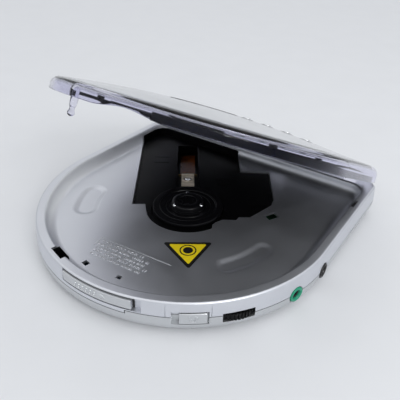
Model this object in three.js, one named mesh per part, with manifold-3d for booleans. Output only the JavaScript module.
// Portable CD player with its lid open.
// Millimetres, +Z up. The origin is on the spindle axis, on the plane the feet stand on.
// -Y is the rounded front with the OPEN slider, +Y is the straight rear with the lid hinge.
import * as THREE from 'three';
import { mergeVertices } from 'three/addons/utils/BufferGeometryUtils.js';
import Module from 'manifold-3d';

const wasm = await Module();
wasm.setup();

// ---- driving dimensions ----
const GAP = 0.3; // room between pieces that touch
const ARC_STEPS = 32; // facets round the front half circle
const CORNER_STEPS = 3;

const RIM_R = 65.3; // radius of the rim about the spindle
const REAR_Y = 64.2; // rear of the rim
const CORNER_R = 4;
const RIM_Z = 15;
const BASE_Z = 0.8; // underside of the case
const BASE_T = 1.4;
const PART_Z = 7.4; // joint line between the two case halves
const STEP_Z = 8.6; // joint line where it is stepped up at the front right
const STEP_FROM = -73;
const STEP_TO = -43;

const WELL_R = 61.5; // disc well
const WELL_REAR_Y = 58;
const WELL_CORNER_R = 7;
const FLOOR_Z = 9.6;
const FLOOR_T = 1.1;
const CAVITY_R = 59.5; // room under the well floor

const HINGE_Y = 62;
const HINGE_Z = 9.6;
const HINGE_PIN_R = 1.2;
const EAR_FROM = 50; // hinge ears of the lid, measured from the middle
const EAR_TO = 56;
const REAR_ROUND_R = 5.5; // rear edge of the case, round about the hinge axis
const LID_OPEN = THREE.MathUtils.degToRad(27.6);

const LID_Z = 15.3; // lower edge of the closed lid
const LID_R = 64.3;
const LID_REAR_Y = 63.4;
const SKIRT_T = 1.4;
const NOTCH_RISE = 1.6; // gap for a finger in the skirt, over the OPEN slider
const NOTCH_ANGLE = -82;
const NOTCH_HALF = 13;
const SHOULDER_R = 2.8; // round edge between skirt and dome, larger at the rear
const REAR_SHOULDER_R = 4.5;
const DOME_EDGE_Z = 21.4;
const DOME_TILT = 0.0225; // rise of the edge for each millimetre toward the rear
const DOME_RISE = 4.95;
const SHELL_T = 1.7;
const PLATE_SCALE = 0.9; // outline of the top plate over outline of the lid
const PLATE_T = 0.6;
const LINER_R = 58;
const LINER_Z = 16.4; // underside of the liner's floor
const LIP_LOW = 15.6;
const LIP_HIGH = 18.4;
const LIP_T = 1.1;
const LINER_FRONT_Y = -44;
const LINER_POSTS = [[-42, -20], [42, -22], [-42, 36], [42, 36]];

const MECH_ANGLE = THREE.MathUtils.degToRad(36); // the sled runs 90 degrees past this
const DECK_Z = 8.8;
const DECK_T = 1.2;
const DECK_ARC_R = 18.9;
const DECK_LIP_Z = 12.6; // the deck turns up against the well's wall at the rear left
const PLATTER_R = 15.8;
const PLATTER_Z = 11.3;
const HUB_R = 7.1;
const HUB_Z = 13.9;
const BALL_R = 0.9;
const BALL_ANGLE = 6.6;
const SHAFT_R = 1;
const SLED_S = 25.1; // lens centre from the spindle at the start of the disc
const ROD_T = 10; // guide rods, off the sled's centre line
const ROD_Z = 5.6;
const SCREW_T = 16;
const SCREW_Z = 5;

const WHEEL_R = 9.5;
const WHEEL_CENTRE_R = 57.3;
const WHEEL_ANGLE = -38.2;
const JACK_Z = 6.9;
const JACK_ANGLE = -16.8;
const POWER_JACK_Y = -0.7;
const LATCH_R = 61.7;
const LATCH_ANGLE = -105.4;
const LID_SWITCH = [62.2, 40.5];

const CELL = { x: 24, front: -49, rear: -32, low: 2.4, high: 8.1 };
const DOOR_X = 27;
const DOOR_REAR_Y = -30;
const FEET = [[-38, -38], [38, -38], [-46, 50], [46, 50]];
const SCREWS = [[-42, -30], [30, -26.5], [-59.5, 52], [59.5, 52]];
const TOP_ANGLE = THREE.MathUtils.degToRad(34); // the display and buttons are in a row at this angle
const BUTTONS = [15.2, 23.8, 32.4, 41].map((u) => fromTopAxes(u, -13));
const BUTTON_R = 1.7;
const BUTTON_RISE = 0.5;
const BUTTON_BOARD_Z = 20.2;
const WINDOW = { u: -3, v: -8.5, width: 25, depth: 13 };

// ---- materials ----
const finish = (color, roughness, metalness = 0, opacity = 1) =>
  new THREE.MeshStandardMaterial({ color, roughness, metalness, opacity, transparent: opacity < 1 });
const silver = () => finish(0xb9bcc0, 0.35, 0.55);
const black = () => finish(0x0c0c0e, 0.45);
const clear = () => finish(0xb4b2dc, 0.08, 0, 0.4);
const steel = () => finish(0xcfd2d6, 0.22, 1);
const rubber = () => finish(0x1b1b1d, 0.9);
const board = () => finish(0x1d5a36, 0.5);

// ---- making and joining solids ----
function outward(geometry) {
  const p = geometry.getAttribute('position');
  const index = geometry.getIndex().array;
  const [a, b, c] = [new THREE.Vector3(), new THREE.Vector3(), new THREE.Vector3()];
  let volume = 0;
  for (let i = 0; i < index.length; i += 3) {
    a.fromBufferAttribute(p, index[i]);
    b.fromBufferAttribute(p, index[i + 1]);
    c.fromBufferAttribute(p, index[i + 2]);
    volume += a.dot(b.cross(c));
  }
  return volume >= 0;
}

function solid(shape) {
  if (shape instanceof wasm.Manifold) return shape;
  const bare = shape.clone();
  bare.deleteAttribute('normal');
  bare.deleteAttribute('uv');
  const welded = mergeVertices(bare, 1e-4);
  const flip = !outward(welded);
  const index = welded.getIndex().array;
  const faces = [];
  for (let i = 0; i < index.length; i += 3) {
    const [a, b, c] = [index[i], index[i + 1], index[i + 2]];
    if (a !== b && b !== c && c !== a) faces.push(...(flip ? [a, c, b] : [a, b, c]));
  }
  const vertProperties = new Float32Array(welded.getAttribute('position').array);
  return new wasm.Manifold(new wasm.Mesh({ numProp: 3, vertProperties, triVerts: new Uint32Array(faces) }));
}

const cut = (base, ...tools) => tools.reduce((rest, tool) => rest.subtract(solid(tool)), solid(base));
const join = (base, ...more) => more.reduce((whole, piece) => whole.add(solid(piece)), solid(base));
const common = (one, other) => solid(one).intersect(solid(other));

function add(group, name, shape, material) {
  const mesh = solid(shape).getMesh();
  const geometry = new THREE.BufferGeometry();
  geometry.setAttribute('position', new THREE.BufferAttribute(new Float32Array(mesh.vertProperties), 3));
  geometry.setIndex(new THREE.BufferAttribute(new Uint32Array(mesh.triVerts), 1));
  geometry.computeVertexNormals();
  const part = new THREE.Mesh(geometry, material);
  part.name = name;
  group.add(part);
  return part;
}

// ---- shapes ----
const polar = (r, degrees) => {
  const a = THREE.MathUtils.degToRad(degrees);
  return [r * Math.cos(a), r * Math.sin(a)];
};

function fromTopAxes(u, v) {
  const [c, s] = [Math.cos(TOP_ANGLE), Math.sin(TOP_ANGLE)];
  return [u * c - v * s, u * s + v * c];
}

function arc(r, from, to, steps, [cx, cy] = [0, 0]) {
  return Array.from({ length: steps + 1 }, (_, i) => {
    const [x, y] = polar(r, from + ((to - from) * i) / steps);
    return [cx + x, cy + y];
  });
}

// Round front, straight sides, straight rear with rounded corners.
function outline(r, rear, corner, stops = 0) {
  const [side, back] = [rear - corner, r - corner];
  return [
    ...arc(r, 180, 360, ARC_STEPS),
    ...stopsBetween([r, 0], [r, side], stops),
    ...arc(corner, 0, 90, CORNER_STEPS, [back, side]),
    ...stopsBetween([back, rear], [-back, rear], stops),
    ...arc(corner, 90, 180, CORNER_STEPS, [-back, side]),
    ...stopsBetween([-r, side], [-r, 0], stops),
  ];
}
// Evenly spaced points inside a straight run, so a curved surface can follow it.
function stopsBetween([ax, ay], [bx, by], count) {
  return Array.from({ length: count }, (_, i) => {
    const k = (i + 1) / (count + 1);
    return [ax + (bx - ax) * k, ay + (by - ay) * k];
  });
}
const caseOutline = (grow) => outline(RIM_R + grow, REAR_Y + grow, Math.max(1, CORNER_R + grow));
const wellOutline = (grow) => outline(WELL_R + grow, WELL_REAR_Y + grow, WELL_CORNER_R + grow);
const LID_STOPS = 5;
const lidOutline = (scale, inset = 0) =>
  outline(LID_R - inset, LID_REAR_Y - inset, Math.max(0.5, CORNER_R - inset), LID_STOPS)
    .map(([x, y]) => [x * scale, y * scale]);

// A closed solid through rings of points; a ring's z is a number or a height for each x and y.
function loft(sections) {
  const count = sections[0].ring.length;
  const level = (z, x, y) => (typeof z === 'function' ? z(x, y) : z);
  const position = sections.flatMap(({ ring, z }) => ring.flatMap(([x, y]) => [x, y, level(z, x, y)]));
  const index = [];
  for (let k = 0; k + 1 < sections.length; k++) {
    for (let i = 0; i < count; i++) {
      const [a, b] = [k * count + i, k * count + ((i + 1) % count)];
      index.push(a, b, b + count, a, b + count, a + count);
    }
  }
  const cap = (ring) => THREE.ShapeUtils.triangulateShape(ring.map((p) => new THREE.Vector2(...p)), []);
  const top = (sections.length - 1) * count;
  for (const [a, b, c] of cap(sections[0].ring)) index.push(a, c, b);
  for (const [a, b, c] of cap(sections.at(-1).ring)) index.push(top + a, top + b, top + c);
  const geometry = new THREE.BufferGeometry();
  geometry.setAttribute('position', new THREE.Float32BufferAttribute(position, 3));
  geometry.setIndex(index);
  return geometry;
}

const prism = (ring, low, high) => loft([{ ring, z: low }, { ring, z: high }]);

function box([x0, y0, z0], [x1, y1, z1]) {
  return new THREE.BoxGeometry(x1 - x0, y1 - y0, z1 - z0)
    .translate((x0 + x1) / 2, (y0 + y1) / 2, (z0 + z1) / 2);
}

function drum(r, low, high, [x, y] = [0, 0], steps = 20) {
  return new THREE.CylinderGeometry(r, r, high - low, steps)
    .rotateX(Math.PI / 2).translate(x, y, (low + high) / 2);
}

// Bars along X and along Y, round in section.
const barX = (r, from, to, y, z, steps = 14) =>
  new THREE.CylinderGeometry(r, r, to - from, steps).rotateZ(Math.PI / 2).translate((from + to) / 2, y, z);
const barY = (r, from, to, x, z, steps = 14) =>
  new THREE.CylinderGeometry(r, r, to - from, steps).translate(x, (from + to) / 2, z);

// A profile of [radius, z] points turned about Z; it starts and ends on the axis.
function turned(profile, steps = 28) {
  const points = profile.map(([r, z]) => new THREE.Vector2(r, z));
  return new THREE.LatheGeometry(points, steps).rotateX(Math.PI / 2);
}

// A curved block between two radii and two angles about the spindle.
function sector(inner, outer, from, to, low, high) {
  const steps = Math.max(2, Math.ceil(Math.abs(to - from) / 5));
  return prism([...arc(outer, from, to, steps), ...arc(inner, to, from, steps)], low, high);
}

// A curved slot with round ends.
function kidney(r, half, from, to, low, high) {
  const ring = [
    ...arc(r + half, from, to, 5),
    ...arc(half, to, to + 180, 8, polar(r, to)).slice(1, -1),
    ...arc(r - half, to, from, 5),
    ...arc(half, from + 180, from + 360, 8, polar(r, from)).slice(1, -1),
  ];
  return prism(ring, low, high);
}

// A box that points away from the spindle at an angle.
function radialBox(inner, outer, width, low, high, degrees) {
  return box([inner, -width / 2, low], [outer, width / 2, high]).rotateZ(THREE.MathUtils.degToRad(degrees));
}

const mirroredX = (make) => [make(1), make(-1)];
const between = (a, b) => [Math.min(a, b), Math.max(a, b)];

// ---- case ----
function caseBlock() {
  const profile = [
    [-3.2, BASE_Z], [0.1, 3.3], [0.6, 4.6], [0.75, 7], [0.6, 10], [0.3, 13], [0, 14.4],
    [-0.4, 14.85], [-1, RIM_Z],
  ];
  return loft(profile.map(([grow, z]) => ({ ring: caseOutline(grow), z })));
}

function wellBlock() {
  const profile = [
    [-3.4, FLOOR_Z], [-1.9, 10.1], [-1.1, 11], [-0.7, 12.2], [-0.3, 14.2], [0, 14.6], [0.25, RIM_Z + 1],
  ];
  return loft(profile.map(([grow, z]) => ({ ring: wellOutline(grow), z })));
}

// Opening in the well floor over the mechanism, in the mechanism's own axes.
function deckRing(shrink) {
  const arcEnd = 57;
  const ring = [
    ...arc(DECK_ARC_R - shrink, -174, -arcEnd, 12),
    [10.6 - shrink, -13.2], [12.1 - shrink, -11.3 + shrink], [15.3, -9.4 + shrink], [21.3, -9.6 + shrink],
    [22.6, -7.4 + shrink], [27.6 - shrink, -7.4 + shrink], [38.5 - shrink, 2.3], [40.5 - shrink, 7.6],
    [42 - shrink, 33.5 - shrink], [27.5 - shrink, 34.5 - shrink], [27.5 - shrink, 80],
    [-25.5 + shrink, 80], [-25.5 + shrink, 2.6 + shrink], [-19.4, 2.6 + shrink],
  ];
  return ring;
}

function deckOutline(shrink, wellGrow, low, high) {
  const raw = prism(deckRing(shrink), low, high).rotateZ(MECH_ANGLE);
  return common(raw, prism(wellOutline(wellGrow), low - 1, high + 1));
}

const wheelCentre = polar(WHEEL_CENTRE_R, WHEEL_ANGLE);
const latchCentre = polar(LATCH_R, LATCH_ANGLE);

function wallOpenings() {
  const deg = THREE.MathUtils.degToRad;
  const jackHole = (degrees, y) =>
    new THREE.CylinderGeometry(3.6, 3.6, 12, 20).rotateZ(Math.PI / 2)
      .translate(67.6, y, JACK_Z).rotateZ(deg(degrees));
  return [
    sector(64.2, 72, -58.9, -47.5, 5.7, 11.2), // hold switch
    drum(WHEEL_R + 0.5, 5.6, 9, wheelCentre, 28), // volume wheel
    sector(62.2, 72, -43.4, -33, 5.6, 9.6),
    jackHole(JACK_ANGLE, 0),
    jackHole(0, POWER_JACK_Y),
    radialBox(48, 62, 6.8, 2, 9.1, JACK_ANGLE),
    box([48, POWER_JACK_Y - 3.6, 2], [62, POWER_JACK_Y + 3.6, 9.1]),
    ...mirroredX((side) => {
      const [low, high] = between(side * (EAR_FROM - 0.4), side * (EAR_TO + 0.4));
      return box([low, 58.6, 5.8], [high, 72, 20]);
    }),
  ];
}

function splitStep(grow) {
  return sector(61.9 - grow, 72, STEP_FROM - grow, STEP_TO + grow, PART_Z - 1, STEP_Z + grow);
}

function lowerCase() {
  const wanted = join(box([-80, -80, -1], [80, 80, PART_Z]), splitStep(0));
  const inside = loft([
    { ring: caseOutline(-4.8), z: BASE_Z + BASE_T },
    { ring: caseOutline(-1.1), z: 4.6 },
    { ring: caseOutline(-0.9), z: 12 },
  ]);
  const holdBacking = sector(63.2, 64.7, -60, -46.4, 4.4, STEP_Z);
  const holdSlot = sector(63, 64.7, -56, -50.7, 5.8, 7.4);
  const door = box([-DOOR_X - GAP, -80, -1], [DOOR_X + GAP, DOOR_REAR_Y + GAP, BASE_Z + 1.5]);
  const feet = FEET.map((at) => drum(4.8, 0, BASE_Z + 0.5, at, 24));
  const screwHoles = SCREWS.flatMap((at) => [drum(2.4, 0, BASE_Z + 0.7, at, 16), drum(1.3, 0, 5, at, 10)]);
  const shell = join(cut(common(caseBlock(), wanted), inside), holdBacking);
  return cut(shell, holdSlot, door, ...feet, ...screwHoles, ...wallOpenings());
}

function hingeBore(side) {
  const [low, high] = between(side * 46.6, side * 59.4);
  return barX(HINGE_PIN_R + GAP, low, high, HINGE_Y, HINGE_Z);
}

function rearRounding() {
  const corner = box([-80, HINGE_Y, HINGE_Z], [80, 80, 20]);
  return cut(corner, barX(REAR_ROUND_R, -81, 81, HINGE_Y, HINGE_Z, 32));
}

function latchHole() {
  const width = 8;
  const depth = 3.4;
  return radialBox(LATCH_R - depth / 2, LATCH_R + depth / 2, width, 4, RIM_Z + 1, LATCH_ANGLE);
}

function upperCase() {
  const below = join(box([-80, -80, -1], [80, 80, PART_Z + GAP]), splitStep(GAP));
  const underFloor = prism(outline(CAVITY_R, 56.4, 6), 0, FLOOR_Z - FLOOR_T);
  const fingerDips = [kidney(42.5, 5, -33.5, -8, 8.7, 12), kidney(46, 6.2, -160.5, -143.5, 8.7, 12)];
  const dipWalls = [kidney(42.5, 5.8, -33.5, -8, 7.8, 9), kidney(46, 7, -160.5, -143.5, 7.8, 9)];
  const shell = join(cut(caseBlock(), below, wellBlock(), underFloor), ...dipWalls);
  const [sx, sy] = LID_SWITCH;
  return cut(
    shell,
    deckOutline(0, -0.2, 7, DECK_LIP_Z + GAP),
    ...fingerDips,
    ...wallOpenings(),
    latchHole(),
    radialBox(57, 60.2, 1.9, 10.6, 13, -94.8), // small slots in the front wall of the well
    radialBox(57, 59.4, 1.6, 10.6, 13, -79.8),
    sector(63.9, 72, -98, -67.9, 9.3, 14.5), // OPEN slider
    sector(61.8, 63.4, -112.5, -69, 8, 13), // room behind it for the hook and spring
    sector(63.2, 64.2, -91, -78.5, 9.7, 12.7), // slot for the slider's arm
    sector(61.1, 62.4, -104, -99.2, 11, 12.6), // room for the hook's finger as it slides
    box([sx - 0.9, sy - 3, 5], [sx + 0.9, sy + 3, RIM_Z + 1]), // lid switch
    box([-2.7, -1.3, 7], [2.7, 1.3, 12]).rotateZ(1.13).translate(33.9, 17, 0),
    rearRounding(),
    ...mirroredX(hingeBore),
  );
}

function batteryDoor() {
  const plate = common(caseBlock(), box([-DOOR_X, -80, BASE_Z - 1], [DOOR_X, DOOR_REAR_Y, BASE_Z + 1.2]));
  const ribs = [-57, -55, -53].map((y) => box([-7, y - 0.4, 0], [7, y + 0.4, BASE_Z + 0.3]));
  return cut(plate, ...ribs);
}

// ---- bits of the case ----
const foot = (at) => turned([[0, 0], [4, 0], [4.5, 0.4], [4.5, 1], [0, 1]], 24).translate(at[0], at[1], 0);

function caseScrew([x, y]) {
  const head = turned([[0, 0.9], [1.7, 0.9], [1.9, 1.2], [1, 1.2], [1, 5.5], [0, 6.2]], 14);
  const cross = [box([-1.3, -0.2, 0], [1.3, 0.2, 1.3]), box([-0.2, -1.3, 0], [0.2, 1.3, 1.3])];
  return cut(head.translate(x, y, 0), ...cross.map((slot) => slot.translate(x, y, 0)));
}

function batteryCell() {
  const ring = [
    ...arc(1.5, -90, 0, 3, [CELL.x - 1.5, CELL.front + 1.5]),
    ...arc(1.5, 0, 90, 3, [CELL.x - 1.5, CELL.rear - 1.5]),
    ...arc(1.5, 90, 180, 3, [1.5 - CELL.x, CELL.rear - 1.5]),
    ...arc(1.5, 180, 270, 3, [1.5 - CELL.x, CELL.front + 1.5]),
  ];
  const middle = (CELL.front + CELL.rear) / 2;
  const nub = barX(2, CELL.x - 1, CELL.x + 0.6, middle, (CELL.low + CELL.high) / 2);
  return join(prism(ring, CELL.low, CELL.high), nub);
}

function batteryContact(side) {
  const from = side > 0 ? CELL.x + 1 : CELL.x + 0.4;
  const [low, high] = between(side * from, side * (from + 0.6));
  const middle = (CELL.front + CELL.rear) / 2;
  return box([low, middle - 4, 2.8], [high, middle + 4, 7.9]);
}

// ---- spindle ----
function turntable() {
  const profile = [
    [0, 9.4], [4, 9.4], [4, 9.9], [PLATTER_R - 0.3, 9.9], [PLATTER_R, 10.2], [PLATTER_R, PLATTER_Z - 0.3],
    [PLATTER_R - 0.3, PLATTER_Z], [12.6, PLATTER_Z], [12.4, PLATTER_Z - 0.3], [8.4, PLATTER_Z - 0.3],
    [8.4, PLATTER_Z - 0.6], [0, PLATTER_Z - 0.6],
  ];
  return cut(turned(profile, 36), drum(SHAFT_R + GAP, 8, 13, [0, 0], 12));
}

function spindleHub() {
  const low = PLATTER_Z - 0.6 + GAP;
  const profile = [
    [0, low], [8, low], [8, PLATTER_Z], [HUB_R + 0.1, PLATTER_Z + 0.1], [HUB_R, 13], [HUB_R - 0.7, 13.6],
    [HUB_R - 1.6, HUB_Z], [4.2, HUB_Z], [3.8, 13.3], [0, 13.3],
  ];
  const pockets = [0, 120, 240].map((turn) => {
    const [x, y] = polar(6.75, BALL_ANGLE + turn);
    return new THREE.IcosahedronGeometry(BALL_R + GAP, 1).translate(x, y, 12.9);
  });
  return cut(turned(profile, 24), drum(SHAFT_R + GAP, 8, 12.4, [0, 0], 12), ...pockets);
}

function clampBall(turn) {
  const [x, y] = polar(6.75, BALL_ANGLE + turn);
  return new THREE.IcosahedronGeometry(BALL_R, 1).translate(x, y, 12.9);
}

const spindleShaft = () => drum(SHAFT_R, 7.5, 12.1, [0, 0], 14);
const spindleMotor = () =>
  turned([[0, 2.6], [11.3, 2.6], [11.6, 2.9], [11.6, 6.6], [11, 7.1], [0, 7.1]], 32);

// ---- pickup, in the mechanism's own axes: X across, Y along the sled's travel ----
function mechanismDeck() {
  const slot = box([-5.4, 16.6, 0], [5.4, 63, 20]);
  const bowl = drum(PLATTER_R + 0.9, DECK_Z - 0.5, 20, [0, 0], 40);
  const ribs = [[-18, 44], [-18, 50], [14, 22], [14, 27]].map(([x, y]) =>
    box([x, y, DECK_Z - 0.4], [x + 8, y + 0.6, 20]));
  const plate = deckOutline(0.4, -0.5, DECK_Z - DECK_T, DECK_LIP_Z);
  const inside = prism(wellOutline(-1.4), DECK_Z, 20);
  const window = box([-23, -1, 0], [-19.5, 1.2, 20]);
  const tools = [slot, bowl, window, ...ribs].map((tool) => tool.rotateZ(MECH_ANGLE));
  return cut(plate, inside, ...tools, drum(4.6, 0, 20, [0, 0], 20));
}

function pickupSled() {
  const rear = SLED_S + 7;
  const front = SLED_S - 7;
  const base = box([-12.6, front, 4.1], [12.6, rear, 7.1]);
  const tower = box([-4.8, front, 6], [4.8, SLED_S + 5.4, 8.6]);
  const arm = box([11, SLED_S - 2.5, 3], [18.6, SLED_S + 2.5, 7.1]);
  const rods = [-ROD_T, ROD_T].map((x) => barY(1 + GAP, 0, 60, x, ROD_Z));
  const optics = box([-3.2, SLED_S - 5, 7.3], [3.2, SLED_S + 5, 12]);
  return cut(join(base, tower, arm), ...rods, barY(1.9, 0, 60, SCREW_T, SCREW_Z), optics);
}

function lensHolder() {
  const block = box([-3, SLED_S - 4.7, 7.6], [3, SLED_S + 4.7, 10]);
  const head = drum(2.9, 8, 10.2, [0, SLED_S], 24);
  return cut(join(block, head), drum(2.2, 8.4, 12, [0, SLED_S], 20));
}

function objectiveLens() {
  const r = 1.9;
  const profile = [[0, 8.7], [r, 8.7], [r, 9.5], [1.4, 9.9], [0.7, 10.2], [0, 10.3]];
  return turned(profile, 20).translate(0, SLED_S, 0);
}

function feedScrew() {
  const [from, to, pitch, crest, root] = [15.2, 61, 4, 1.5, 1.1];
  const profile = [[0, from], [root, from]];
  for (let y = from + 1; y < to - pitch; y += pitch) {
    profile.push([root, y], [crest, y + pitch / 4], [crest, y + pitch / 2], [root, y + (pitch * 3) / 4]);
  }
  profile.push([root, to], [0, to]);
  const points = profile.map(([r, y]) => new THREE.Vector2(r, y));
  return new THREE.LatheGeometry(points, 8).translate(SCREW_T, 0, SCREW_Z);
}

function feedMotor() {
  const flat = 3.2;
  const ring = [
    [-flat, -1.4], [-1.9, -2.3], [1.9, -2.3], [flat, -1.4],
    [flat, 1.4], [1.9, 2.3], [-1.9, 2.3], [-flat, 1.4],
  ];
  const can = prism(ring, 0, 12).rotateX(Math.PI / 2).translate(SCREW_T, 13.4, SCREW_Z);
  return join(can, barY(0.8, 12, 14.9, SCREW_T, SCREW_Z, 10));
}

const guideRod = (side) => barY(1, 14.2, 68, side * ROD_T, ROD_Z, 12);

// The flat cable lies on the floor of the slot, under the sled.
function pickupFlex() {
  return box([-4, 30, 2.5], [4, 64, 2.8]);
}

// ---- electronics ----
function mainBoard() {
  const ring = [[24, -20], [46, -20], [58, -12], [60, -4], [60, 46], [30, 46], [24, 38]];
  const notch = drum(2, 0, 8, SCREWS[1], 10);
  return cut(prism(ring, 2.6, 3.6), notch);
}
const chip = (x, y, size) => box([x, y, 3.9], [x + size, y + size, 5.2]);

// A jack lying along +X with its mouth outward; the mesh is turned to its place.
function headphoneJack() {
  const bezel = cut(barX(3.2, 61.9, 66.5, 0, JACK_Z, 28), barX(2.4, 65.7, 70, 0, JACK_Z, 24));
  const body = box([49, -3, 3.9], [62.1, 3, 8.9]);
  return cut(join(body, bezel), barX(1.75, 50, 70, 0, JACK_Z, 18));
}

function powerJack() {
  const bezel = barX(3.2, 61.9, 66.4, POWER_JACK_Y, JACK_Z, 28);
  const body = box([51, POWER_JACK_Y - 3, 3.9], [62.1, POWER_JACK_Y + 3, 8.9]);
  const pin = barX(0.6, 53, 64.5, POWER_JACK_Y, JACK_Z, 10);
  const socket = cut(barX(2, 54, 70, POWER_JACK_Y, JACK_Z, 20), pin);
  return cut(join(body, bezel), socket);
}

function volumeWheel() {
  const notches = 36;
  const ring = Array.from({ length: notches * 2 }, (_, i) =>
    polar(i % 2 ? WHEEL_R : WHEEL_R - 0.35, (i * 180) / notches));
  return prism(ring, 5.9, 8.7);
}

const volumePot = () => box([-4.5, -4, 3.8], [3.8, 4, 5.5]);

function holdKnob() {
  const face = sector(64.6, 66.1, -56.6, -48, 6, 10.9);
  const nub = sector(66, 66.7, -53.4, -51.1, 6.6, 9);
  const stem = sector(63.2, 64.8, -53.4, -51.1, 6.1, 7.1);
  return join(face, nub, stem);
}
const holdSwitchBody = () => radialBox(58.6, 62.8, 7, 3.9, 7.1, -52.5);

function openSlider() {
  const face = sector(64.4, 66.05, -97.6, -70.6, 9.7, 14.2);
  const arm = sector(62.4, 64.6, -90, -82.3, 10, 12.4);
  return join(face, arm);
}

// The hook plate reaches the latch pin from the side and leaves its neck free.
function latchHook() {
  const bar = sector(62.2, 63.1, -102.2, -90.4, 10.2, 12.4);
  const finger = sector(61.3, 63.1, -103.4, -102, 11.2, 12.4);
  return join(bar, finger);
}

function latchSpring() {
  const [turns, steps, length, r] = [5, 35, 11, 0.45];
  const path = new THREE.CatmullRomCurve3(Array.from({ length: steps + 1 }, (_, i) => {
    const [y, z] = polar(r, (i * 360 * turns) / steps);
    return new THREE.Vector3((i * length) / steps, y, z);
  }));
  const wire = new THREE.Shape(arc(0.14, 0, 270, 3).map((p) => new THREE.Vector2(...p)));
  return new THREE.ExtrudeGeometry(wire, { steps, extrudePath: path, bevelEnabled: false });
}

function lidSwitchPin() {
  const [x, y] = LID_SWITCH;
  return box([x - 0.5, y - 2.2, 7.6], [x + 0.5, y + 2.2, RIM_Z - 0.4]);
}
function lidSwitchBody() {
  const [x, y] = LID_SWITCH;
  return box([x - 4, y - 3.5, 3.9], [x - 0.9, y + 3.5, 7.2]);
}

function symbolLabel() {
  const ring = [[-9.6, -26], [0.3, -41.4], [9.7, -26]];
  return prism(ring, FLOOR_Z + 0.05, FLOOR_Z + 0.2).rotateZ(MECH_ANGLE);
}

// ---- lid, modelled closed ----
// Height of the dome over the edge: round at the front, falling to the straight sides and rear.
function domeAt(x, y) {
  const across = 1 - (x / LID_R) ** 2;
  const along = 1 - (y / LID_REAR_Y) ** 2;
  const rise = y > 0 ? across * along : across + along - 1;
  return DOME_EDGE_Z + DOME_TILT * y + DOME_RISE * Math.max(rise, 0);
}
const CENTRE_SCALE = 0.02;
const domeRings = (scales, drop) =>
  scales.map((scale) => ({ ring: lidOutline(scale), z: (x, y) => domeAt(x, y) - drop }));

// A domed sheet out to a scale of the lid's outline, between two depths under the dome.
function domeSheet(scale, low, high) {
  const scales = [scale, 0.7, 0.4, CENTRE_SCALE];
  return loft([...domeRings([...scales].reverse(), low), ...domeRings(scales, high)]);
}

const shoulderAt = (y) => SHOULDER_R + (REAR_SHOULDER_R - SHOULDER_R) * Math.max(0, y / LID_REAR_Y);

// A ring on the shoulder, from the top of the skirt's wall at 0 degrees in to the dome at 90.
function shoulderRing(degrees) {
  const [across, up] = polar(1, degrees);
  const inner = lidOutline(1, REAR_SHOULDER_R);
  const ring = lidOutline(1).map(([x, y], i) => {
    const k = ((1 - across) * shoulderAt(y)) / REAR_SHOULDER_R;
    return [x + (inner[i][0] - x) * k, y + (inner[i][1] - y) * k];
  });
  return { ring, z: (x, y) => domeAt(x, y) - (1 - up) * shoulderAt(y) };
}

function skirtEdge(x, y) {
  const off = (THREE.MathUtils.radToDeg(Math.atan2(y, x)) - NOTCH_ANGLE) / NOTCH_HALF;
  return Math.abs(off) < 1 ? LID_Z + NOTCH_RISE * Math.cos((off * Math.PI) / 2) ** 2 : LID_Z;
}

function lidShell() {
  const wall = lidOutline(1, SKIRT_T);
  const shell = loft([
    ...domeRings([CENTRE_SCALE, 0.3, 0.6, 0.85, 0.94], SHELL_T),
    { ring: wall, z: (x, y) => domeAt(x, y) - shoulderAt(y) },
    { ring: wall, z: skirtEdge },
    { ring: lidOutline(1), z: skirtEdge },
    ...[0, 30, 60, 90].map(shoulderRing),
    ...domeRings([0.92, 0.7, 0.4, CENTRE_SCALE], 0),
  ]);
  const recess = loft([
    ...domeRings([CENTRE_SCALE, 0.4, 0.7, PLATE_SCALE + 0.004], PLATE_T + GAP),
    { ring: lidOutline(PLATE_SCALE + 0.004), z: 30 },
  ]);
  return cut(join(shell, ...mirroredX(hingeEar), latchPin()), recess, ...plateHoles(),
    barX(HINGE_PIN_R + GAP, -60, 60, HINGE_Y, HINGE_Z));
}

const plateHoles = () => [
  ...BUTTONS.map((at) => drum(BUTTON_R + GAP, 16, 30, at, 20)),
  windowBlock(GAP, 16, 30),
];

function hingeEar(side) {
  const ear = [
    ...arc(2.9, 180, 360, 10, [HINGE_Y, HINGE_Z]), [HINGE_Y + 1.2, 14.6], [HINGE_Y + 1.2, 18],
    [HINGE_Y - 0.8, 21.5], [HINGE_Y - 2.9, 21.8],
  ];
  const [low, high] = between(side * EAR_FROM, side * EAR_TO);
  const flat = prism(ear, low, high);
  return flat.applyMatrix4(new THREE.Matrix4().makeBasis(
    new THREE.Vector3(0, 1, 0), new THREE.Vector3(0, 0, 1), new THREE.Vector3(1, 0, 0)));
}

function latchPin() {
  const [x, y] = latchCentre;
  const profile = [
    [0, 8.7], [0.8, 8.9], [1.25, 9.5], [1.3, 10], [1, 10.7], [0.9, 11.4], [1.2, 12.6],
    [1.4, 15.4], [1.6, 18.9], [0, 18.9],
  ];
  return turned(profile, 16).translate(x, y, 0);
}

function windowBlock(grow, low, high) {
  const { u, v, width, depth } = WINDOW;
  const [w, d] = [width / 2 + grow, depth / 2 + grow];
  return box([u - w, v - d, low], [u + w, v + d, high]).rotateZ(TOP_ANGLE);
}

const lidPlate = () => cut(domeSheet(PLATE_SCALE, PLATE_T, 0), ...plateHoles());

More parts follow.
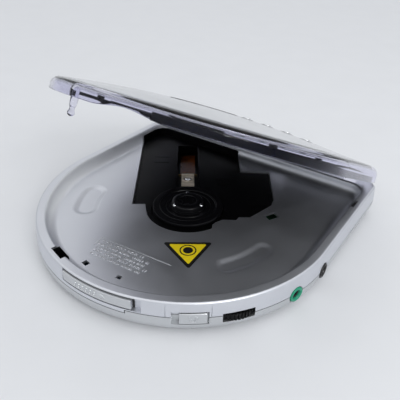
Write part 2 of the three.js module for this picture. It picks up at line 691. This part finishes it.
function lidLiner() {
  const round = drum(LINER_R, LIP_LOW, LIP_HIGH, [0, 0], 56);
  const hollow = drum(LINER_R - LIP_T, LINER_Z + 1, 20, [0, 0], 56);
  const underside = drum(LINER_R - LIP_T, 0, LINER_Z, [0, 0], 56);
  const front = box([-80, -80, 0], [80, LINER_FRONT_Y, 30]);
  const [low, high] = [LINER_Z - 0.6, LINER_Z + 0.5];
  const seat = turned([[0, low], [11, low], [12, LINER_Z], [12, high], [0, high]], 32);
  const hubRoom = drum(8.4, 0, LINER_Z + 0.3, [0, 0], 28);
  const posts = LINER_POSTS.map(([x, y]) =>
    drum(1.6, LINER_Z + 0.5, domeAt(x, y) - SHELL_T - 2 * GAP, [x, y], 12));
  return cut(join(cut(round, hollow, underside), seat, ...posts), hubRoom, front);
}

const displayWindow = () => common(windowBlock(0, 16, 30), domeSheet(0.7, 1.6, 0));
const displayModule = () => windowBlock(-1.5, 18.1, 22.2);

function buttonBoard() {
  return box([9, -18, BUTTON_BOARD_Z], [46, -8, BUTTON_BOARD_Z + 0.8]).rotateZ(TOP_ANGLE);
}

function lidButton([x, y]) {
  const top = domeAt(x, y);
  const foot = BUTTON_BOARD_Z + 1.6;
  const r = BUTTON_R;
  return turned([
    [0, foot], [1, foot], [1, top - 2.2], [r, top - 2.2], [r, top + BUTTON_RISE - 0.4],
    [r - 0.3, top + BUTTON_RISE - 0.1], [r - 0.9, top + BUTTON_RISE], [0, top + BUTTON_RISE],
  ], 22).translate(x, y, 0);
}

// ---- assembly ----
function group(parent, { x = 0, y = 0, z = 0, turnX = 0, turnZ = 0 } = {}) {
  const child = new THREE.Group();
  child.position.set(x, y, z);
  child.rotation.set(turnX, 0, turnZ);
  parent.add(child);
  return child;
}

function buildCase(player) {
  add(player, 'lower_case', lowerCase(), silver());
  add(player, 'upper_case', upperCase(), silver());
  add(player, 'battery_door', batteryDoor(), silver());
  add(player, 'battery_cell', batteryCell(), finish(0x3d6f9e, 0.4, 0.3));
  add(player, 'battery_contact_plus', batteryContact(1), steel());
  add(player, 'battery_contact_minus', batteryContact(-1), steel());
  FEET.forEach((at, i) => add(player, `foot_${i + 1}`, foot(at), rubber()));
  SCREWS.forEach((at, i) => add(player, `case_screw_${i + 1}`, caseScrew(at), steel()));
  ['left', 'right'].forEach((name, i) => {
    const side = i ? 1 : -1;
    const [low, high] = between(side * 47, side * 59);
    add(player, `hinge_pin_${name}`, barX(HINGE_PIN_R, low, high, HINGE_Y, HINGE_Z), steel());
  });
  add(player, 'symbol_label', symbolLabel(), finish(0xf2d21a, 0.5));
}

function buildControls(player) {
  add(player, 'main_board', mainBoard(), board());
  add(player, 'decoder_chip', chip(34, 14, 12), black());
  add(player, 'amplifier_chip', chip(50, 30, 7), black());
  const jack = add(player, 'headphone_jack', headphoneJack(), finish(0x12966b, 0.4));
  jack.rotation.z = THREE.MathUtils.degToRad(JACK_ANGLE);
  add(player, 'power_jack', powerJack(), black());
  const dial = group(player, { x: wheelCentre[0], y: wheelCentre[1] });
  add(dial, 'volume_wheel', volumeWheel(), black());
  add(dial, 'volume_pot', volumePot(), black());
  add(player, 'hold_knob', holdKnob(), silver());
  add(player, 'hold_switch_body', holdSwitchBody(), black());
  add(player, 'open_slider', openSlider(), silver());
  add(player, 'latch_hook', latchHook(), steel());
  const spring = group(player, { turnZ: THREE.MathUtils.degToRad(15.4) });
  add(spring, 'latch_spring', latchSpring().translate(-5.5, -62.5, 11.2), steel());
  add(player, 'lid_switch_pin', lidSwitchPin(), black());
  add(player, 'lid_switch_body', lidSwitchBody(), black());
}

function buildMechanism(player) {
  add(player, 'mechanism_deck', mechanismDeck(), black());
  add(player, 'spindle_motor', spindleMotor(), steel());
  add(player, 'spindle_shaft', spindleShaft(), steel());
  add(player, 'turntable', turntable(), black());
  add(player, 'spindle_hub', spindleHub(), black());
  [0, 120, 240].forEach((turn, i) => add(player, `clamp_ball_${i + 1}`, clampBall(turn), steel()));
  const pickup = group(player, { turnZ: MECH_ANGLE });
  add(pickup, 'guide_rod_left', guideRod(-1), steel());
  add(pickup, 'guide_rod_right', guideRod(1), steel());
  add(pickup, 'feed_motor', feedMotor(), steel());
  add(pickup, 'feed_screw', feedScrew(), finish(0xe8e4d8, 0.5));
  add(pickup, 'pickup_sled', pickupSled(), black());
  add(pickup, 'lens_holder', lensHolder(), finish(0xb6a88c, 0.35, 0.4));
  add(pickup, 'objective_lens', objectiveLens(), clear());
  add(pickup, 'pickup_flex', pickupFlex(), finish(0xa8581c, 0.45));
}

function buildLid(player) {
  const hinge = group(player, { y: HINGE_Y, z: HINGE_Z, turnX: -LID_OPEN });
  const lid = group(hinge, { y: -HINGE_Y, z: -HINGE_Z });
  add(lid, 'lid_shell', lidShell(), clear());
  add(lid, 'lid_plate', lidPlate(), silver());
  add(lid, 'lid_liner', lidLiner(), black());
  add(lid, 'display_window', displayWindow(), finish(0x2a3230, 0.1));
  add(lid, 'display_module', displayModule(), black());
  add(lid, 'button_board', buttonBoard(), board());
  BUTTONS.forEach((at, i) => add(lid, `lid_button_${i + 1}`, lidButton(at), steel()));
}

const player = new THREE.Group();
buildCase(player);
buildControls(player);
buildMechanism(player);
buildLid(player);
export default player;
